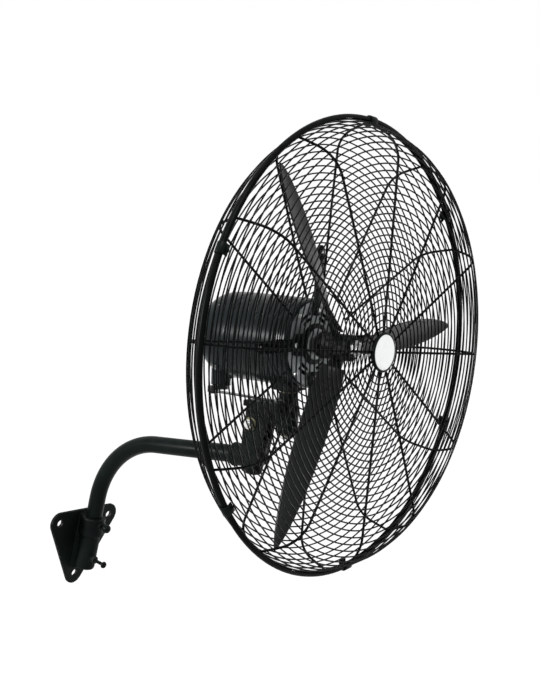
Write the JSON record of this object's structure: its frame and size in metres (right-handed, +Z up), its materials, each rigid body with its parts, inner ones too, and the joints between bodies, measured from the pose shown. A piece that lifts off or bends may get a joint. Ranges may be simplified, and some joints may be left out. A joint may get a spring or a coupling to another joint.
{
  "type": "wall mounted fan",
  "caption": "Oscillating wall fan: motor and slender blades in a domed wire guard, on a tilting yoke at the end of a bent tube arm from a triangular wall plate.",
  "frame": {"origin": "centre of the wall plate's back face, on the wall", "axes": "+Z up the wall, +Y into the wall, the fan blows towards -Y"},
  "size_m": [0.8124, 0.6715, 1.0741],
  "materials": {
    "cast_black": "satin black paint over a cast skin",
    "black_coat": "satin black powder coat",
    "guard_wire": "satin black powder coat on steel wire",
    "cast_aluminium": "bare cast aluminium",
    "steel": "bright zinc plated steel",
    "bronze": "plain bronze",
    "winding": "varnished copper wire",
    "blade_black": "satin black paint on pressed sheet",
    "badge_white": "plain white disc"
  },
  "bodies": {
    "wall": {"wall_bracket": "cast_black", "clamp_screw": "black_coat", "steady_screw": "black_coat"},
    "arm": {"arm_tube": "black_coat", "neck_casting": "cast_black"},
    "yoke": {"tilt_yoke": "cast_black", "tilt_bolt": "steel", "tilt_nut": "steel", "tilt_washer_left": "bronze", "tilt_washer_right": "bronze", "pivot_bush_upper": "bronze", "pivot_bush_lower": "bronze", "link_stud": "steel"},
    "head": {"motor_foot": "cast_black", "pin_collar": "steel", "motor_front_bell": "cast_aluminium", "motor_shell": "black_coat", "motor_rear_cover": "black_coat", "rear_bearing_plate": "cast_aluminium", "stator_core": "steel", "winding_front": "winding", "winding_rear": "winding", "bearing_front": "steel", "bearing_rear": "steel", "guard_spider": "black_coat", "rear_guard": "guard_wire", "front_guard": "guard_wire", "rim_band": "guard_wire", "guard_clip_1": "guard_wire", "guard_clip_2": "guard_wire", "guard_clip_3": "guard_wire", "guard_clip_4": "guard_wire", "guard_clip_5": "guard_wire", "guard_clip_6": "guard_wire", "badge_holder": "black_coat", "badge_disc": "badge_white", "badge_clamp": "black_coat"},
    "crank": {"crank": "steel", "crank_pin": "steel"},
    "rod": {"link_rod": "steel"},
    "rotor": {"motor_shaft": "steel", "rotor_core": "steel", "blade_hub": "cast_black", "hub_nut": "steel", "blade_1": "blade_black", "blade_2": "blade_black", "blade_3": "blade_black"}
  },
  "joints": [
    {"name": "arm_swivel", "type": "hinge", "parent": "wall", "child": "arm", "pos_m": [0, -0.03, 0], "axis": [0, 0, 1], "range_deg": [-30, 30]},
    {"name": "head_tilt", "type": "hinge", "parent": "arm", "child": "yoke", "pos_m": [0, -0.37987, 0.38746], "axis": [1, 0, 0], "range_deg": [-15, 25]},
    {"name": "oscillation", "type": "hinge", "parent": "yoke", "child": "head", "pos_m": [0, -0.43374, 0.46883], "axis": [0, 0.1922, 0.9814], "range_deg": [-35, 35]},
    {"name": "crank_turn", "type": "hinge", "parent": "head", "child": "crank", "pos_m": [0, -0.28011, 0.42855], "axis": [0, 0.1922, 0.9814], "range_deg": [-46, 46]},
    {"name": "rod_pivot", "type": "hinge", "parent": "crank", "child": "rod", "pos_m": [-0.0241, -0.28107, 0.42364], "axis": [0, 0.1922, 0.9814], "range_deg": [-46, 46]},
    {"name": "rotor_spin", "type": "hinge", "parent": "head", "child": "rotor", "pos_m": [0, -0.53342, 0.58006], "axis": [0, 0.9814, -0.1922], "continuous": true}
  ],
  "couplings": [
    {"joint": "crank_turn", "follows": "oscillation", "ratio": -1.3},
    {"joint": "rod_pivot", "follows": "oscillation", "ratio": 1.3}
  ]
}
